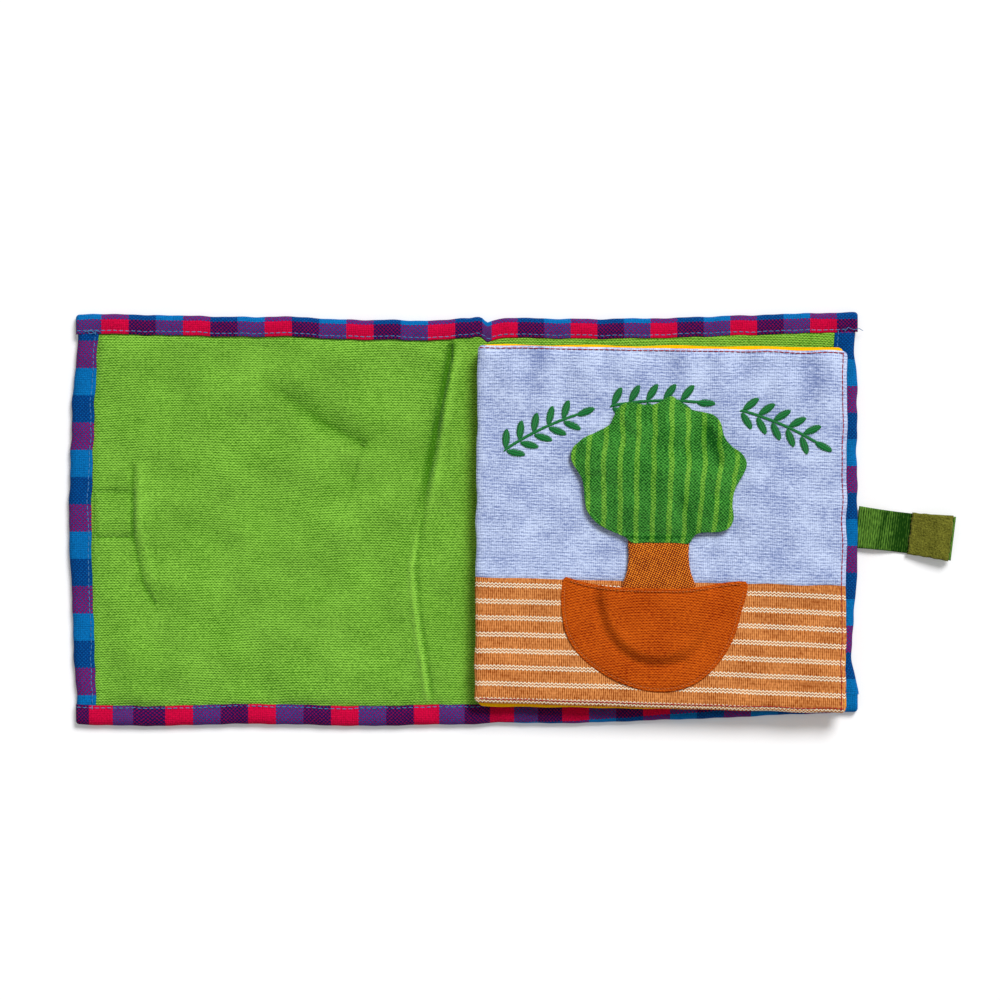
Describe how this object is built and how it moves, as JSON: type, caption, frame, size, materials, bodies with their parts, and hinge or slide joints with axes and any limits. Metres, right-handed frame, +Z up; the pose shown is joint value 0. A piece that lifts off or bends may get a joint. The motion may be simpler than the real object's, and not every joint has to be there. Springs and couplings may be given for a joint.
{
  "type": "cloth book",
  "caption": "Open padded cloth book with a checked cloth cover, quilted leaves, a stuffed tree in a half-round pocket and a closing strap.",
  "frame": {"origin": "on the underside, on the fold between the spine panel and the back cover, at half the spine's height", "axes": "+X across the opened book from the front cover to the back cover and its strap, +Y up the page, +Z up from the table"},
  "size_m": [0.4429, 0.207, 0.024],
  "materials": {
    "checked_cotton": "matt woven cotton in a blue, red and navy check",
    "wadding": "soft polyester wadding",
    "green_cotton": "matt plain-weave cotton",
    "hook_tape": "stiff hook tape",
    "strap_ribbon": "cross-ribbed ribbon with a slight sheen",
    "loop_tape": "fuzzy loop tape",
    "leaf_cotton": "matt yellow cotton",
    "sky_chambray": "pale blue chambray with fine slubs",
    "striped_ground": "orange-brown cotton with white double stripes",
    "pot_cotton": "rust cotton with fine ribs",
    "crown_stripe": "green cotton with light green stripes",
    "trunk_cotton": "shot brown cotton with yellow flecks",
    "embroidery_thread": "satin-stitched thread with a sheen"
  },
  "bodies": {
    "back_cover": {"back_cover_outer": "checked_cotton", "back_cover_wadding": "wadding", "back_cover_lining": "green_cotton", "closing_strap": "strap_ribbon", "strap_loop_patch": "loop_tape"},
    "spine_panel": {"spine_outer": "checked_cotton", "spine_wadding": "wadding", "spine_lining": "green_cotton"},
    "front_cover": {"front_cover_outer": "checked_cotton", "front_cover_wadding": "wadding", "front_cover_lining": "green_cotton", "front_hook_patch": "hook_tape"},
    "leaves": {"page_block": "leaf_cotton", "sky_cloth": "sky_chambray", "ground_cloth": "striped_ground", "pot_pocket": "pot_cotton", "tree_crown": "crown_stripe", "tree_trunk": "trunk_cotton", "embroidered_sprigs": "embroidery_thread"}
  },
  "joints": [
    {"name": "spine_fold", "type": "hinge", "parent": "back_cover", "child": "spine_panel", "pos_m": [0, 0, 0.0045], "axis": [0, 1, 0], "range_deg": [0, 88]},
    {"name": "front_cover_fold", "type": "hinge", "parent": "spine_panel", "child": "front_cover", "pos_m": [-0.02, 0, 0.0045], "axis": [0, 1, 0], "range_deg": [0, 92]},
    {"name": "leaves_turn", "type": "hinge", "parent": "back_cover", "child": "leaves", "pos_m": [-0.0036, 0, 0.01], "axis": [0, -1, 0], "range_deg": [0, 168]}
  ],
  "couplings": [
    {"joint": "front_cover_fold", "follows": "spine_fold", "ratio": 1}
  ]
}
